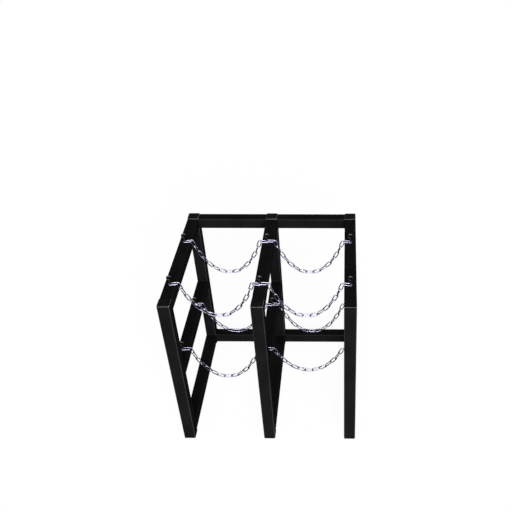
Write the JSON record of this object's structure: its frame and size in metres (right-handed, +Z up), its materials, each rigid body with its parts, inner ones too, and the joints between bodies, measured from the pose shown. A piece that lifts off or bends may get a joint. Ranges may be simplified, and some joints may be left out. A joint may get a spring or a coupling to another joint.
{
  "type": "gas cylinder bracket",
  "caption": "Floor-standing rack of black square steel tube that keeps gas cylinders upright in bays, each behind zinc chains hung from round-bar hooks.",
  "frame": {"origin": "on the floor, under the middle of the rack's overall box", "axes": "+Z up, +Y to the rear cross rails, +X to the right seen from the open front"},
  "size_m": [0.7808, 0.676, 0.8331],
  "materials": {
    "frame_paint": "fine satin powder coat",
    "hook_paint": "glossy black",
    "plug_plastic": "moulded, slightly shiny",
    "chain_zinc": "bright zinc plate"
  },
  "bodies": {
    "frame": {"left_bottom_rail": "frame_paint", "left_front_cap": "plug_plastic", "left_front_foot": "plug_plastic", "left_front_lower_end_links": "chain_zinc", "left_front_lower_hook": "hook_paint", "left_front_post": "frame_paint", "left_front_upper_end_links": "chain_zinc", "left_front_upper_hook": "hook_paint", "left_lower_cross_rail": "frame_paint", "left_middle_rail": "frame_paint", "left_rear_cap": "plug_plastic", "left_rear_foot": "plug_plastic", "left_rear_lower_end_links": "chain_zinc", "left_rear_lower_hook": "hook_paint", "left_rear_post": "frame_paint", "left_rear_upper_end_links": "chain_zinc", "left_rear_upper_hook": "hook_paint", "left_top_rail": "frame_paint", "left_upper_cross_rail": "frame_paint", "middle_bottom_rail": "frame_paint", "middle_front_cap": "plug_plastic", "middle_front_foot": "plug_plastic", "middle_front_lower_hook": "hook_paint", "middle_front_post": "frame_paint", "middle_front_upper_hook": "hook_paint", "middle_middle_rail": "frame_paint", "middle_rear_cap": "plug_plastic", "middle_rear_foot": "plug_plastic", "middle_rear_lower_hook": "hook_paint", "middle_rear_post": "frame_paint", "middle_rear_upper_hook": "hook_paint", "middle_top_rail": "frame_paint", "right_bottom_rail": "frame_paint", "right_front_cap": "plug_plastic", "right_front_foot": "plug_plastic", "right_front_lower_end_links": "chain_zinc", "right_front_lower_hook": "hook_paint", "right_front_post": "frame_paint", "right_front_upper_end_links": "chain_zinc", "right_front_upper_hook": "hook_paint", "right_lower_cross_rail": "frame_paint", "right_middle_rail": "frame_paint", "right_rear_cap": "plug_plastic", "right_rear_foot": "plug_plastic", "right_rear_lower_end_links": "chain_zinc", "right_rear_lower_hook": "hook_paint", "right_rear_post": "frame_paint", "right_rear_upper_end_links": "chain_zinc", "right_rear_upper_hook": "hook_paint", "right_top_rail": "frame_paint", "right_upper_cross_rail": "frame_paint"},
    "left_front_lower_swing": {"left_front_lower_chain": "chain_zinc"},
    "left_front_upper_swing": {"left_front_upper_chain": "chain_zinc"},
    "left_rear_lower_swing": {"left_rear_lower_chain": "chain_zinc"},
    "left_rear_upper_swing": {"left_rear_upper_chain": "chain_zinc"},
    "right_front_lower_swing": {"right_front_lower_chain": "chain_zinc"},
    "right_front_upper_swing": {"right_front_upper_chain": "chain_zinc"},
    "right_rear_lower_swing": {"right_rear_lower_chain": "chain_zinc"},
    "right_rear_upper_swing": {"right_rear_upper_chain": "chain_zinc"}
  },
  "joints": [
    {"name": "left_front_lower_chain_swing", "type": "hinge", "parent": "frame", "child": "left_front_lower_swing", "pos_m": [-0.1825, -0.197, 0.43035], "axis": [1, 0, 0], "range_deg": [-25, 25]},
    {"name": "left_front_upper_chain_swing", "type": "hinge", "parent": "frame", "child": "left_front_upper_swing", "pos_m": [-0.1825, -0.197, 0.79335], "axis": [1, 0, 0], "range_deg": [-25, 25]},
    {"name": "left_rear_lower_chain_swing", "type": "hinge", "parent": "frame", "child": "left_rear_lower_swing", "pos_m": [-0.1825, 0.103, 0.43035], "axis": [1, 0, 0], "range_deg": [-25, 25]},
    {"name": "left_rear_upper_chain_swing", "type": "hinge", "parent": "frame", "child": "left_rear_upper_swing", "pos_m": [-0.1825, 0.103, 0.79335], "axis": [1, 0, 0], "range_deg": [-25, 25]},
    {"name": "right_front_lower_chain_swing", "type": "hinge", "parent": "frame", "child": "right_front_lower_swing", "pos_m": [0.1825, -0.197, 0.43035], "axis": [1, 0, 0], "range_deg": [-25, 25]},
    {"name": "right_front_upper_chain_swing", "type": "hinge", "parent": "frame", "child": "right_front_upper_swing", "pos_m": [0.1825, -0.197, 0.79335], "axis": [1, 0, 0], "range_deg": [-25, 25]},
    {"name": "right_rear_lower_chain_swing", "type": "hinge", "parent": "frame", "child": "right_rear_lower_swing", "pos_m": [0.1825, 0.103, 0.43035], "axis": [1, 0, 0], "range_deg": [-25, 25]},
    {"name": "right_rear_upper_chain_swing", "type": "hinge", "parent": "frame", "child": "right_rear_upper_swing", "pos_m": [0.1825, 0.103, 0.79335], "axis": [1, 0, 0], "range_deg": [-25, 25]}
  ]
}
